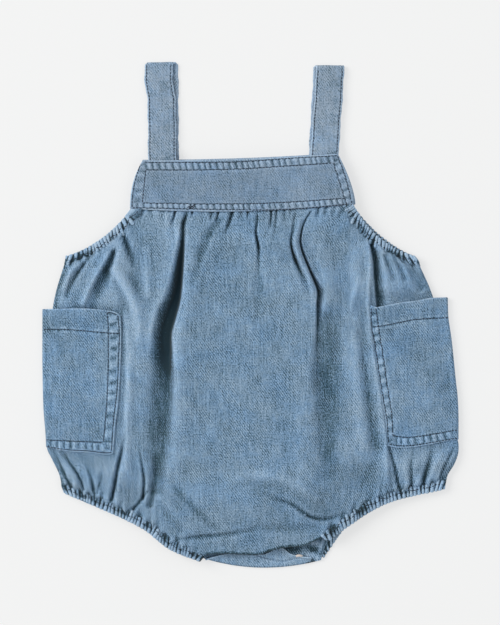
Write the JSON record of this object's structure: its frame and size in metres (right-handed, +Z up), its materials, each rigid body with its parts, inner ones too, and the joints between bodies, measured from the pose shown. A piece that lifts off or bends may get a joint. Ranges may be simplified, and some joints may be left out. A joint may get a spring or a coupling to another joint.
{
  "type": "baby romper",
  "caption": "Sleeveless denim bubble romper laid flat, with a chest yoke, shoulder straps, side patch pockets, elastic armholes and legs and a snap crotch.",
  "frame": {"origin": "middle of the garment's footprint, on the surface it lies on", "axes": "+X across the front towards the picture's right, +Y towards the shoulders, +Z up from the surface"},
  "size_m": [0.34, 0.4109, 0.0166],
  "materials": {
    "body_denim": "light-wash blue denim, matte",
    "yoke_denim": "light-wash blue denim, matte",
    "strap_denim": "worn greyish denim, matte",
    "pocket_denim": "light-wash blue denim, matte",
    "snap_plastic": "pale moulded plastic, slightly glossy"
  },
  "bodies": {
    "root": {"front_panel": "body_denim", "back_panel": "body_denim", "front_yoke": "yoke_denim", "back_yoke": "yoke_denim", "strap_left": "strap_denim", "strap_right": "strap_denim", "pocket_left": "pocket_denim", "pocket_right": "pocket_denim", "armhole_band_left": "body_denim", "armhole_band_right": "body_denim", "leg_band_left": "body_denim", "leg_band_right": "body_denim", "crotch_placket": "body_denim", "snap_socket_left": "snap_plastic", "snap_socket_middle": "snap_plastic", "snap_socket_right": "snap_plastic", "snap_stud_left": "snap_plastic", "snap_stud_middle": "snap_plastic", "snap_stud_right": "snap_plastic"}
  },
  "joints": []
}
